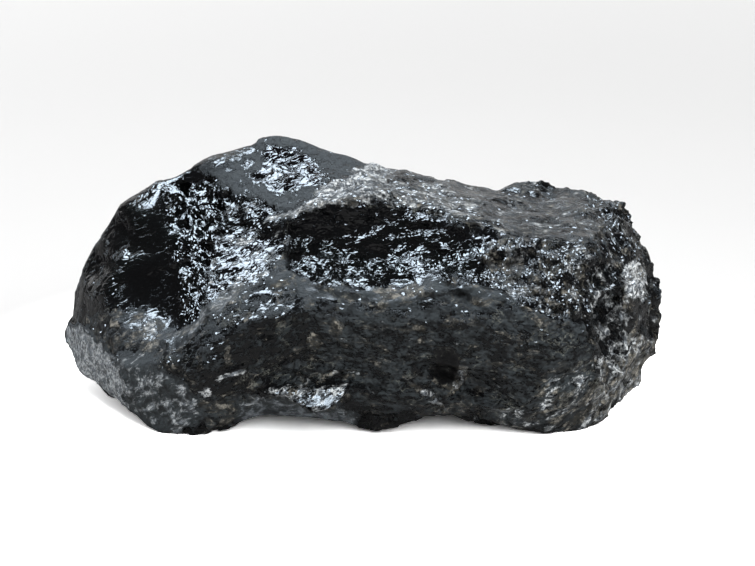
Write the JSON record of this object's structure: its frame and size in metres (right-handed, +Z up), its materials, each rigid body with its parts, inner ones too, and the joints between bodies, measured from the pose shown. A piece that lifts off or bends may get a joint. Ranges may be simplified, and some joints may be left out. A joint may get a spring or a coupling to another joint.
{
  "type": "raw morion quartz lump",
  "caption": "Rough, unworked lump of black smoky quartz with a pointed crown, a hollow front and worn feet, that lies on any level surface as a mineral specimen.",
  "frame": {"origin": "below the middle of the lump's box, on the plane that its feet rest on", "axes": "+X along the lump towards the blunt, coarse end, -Y out of the broad broken front, +Z up"},
  "size_m": [0.151, 0.0796, 0.0659],
  "materials": {
    "morion": "broken, glassy to frosted black quartz with brown and tan stains in its cracks"
  },
  "bodies": {
    "root": {"morion_lump": "morion"}
  },
  "joints": []
}
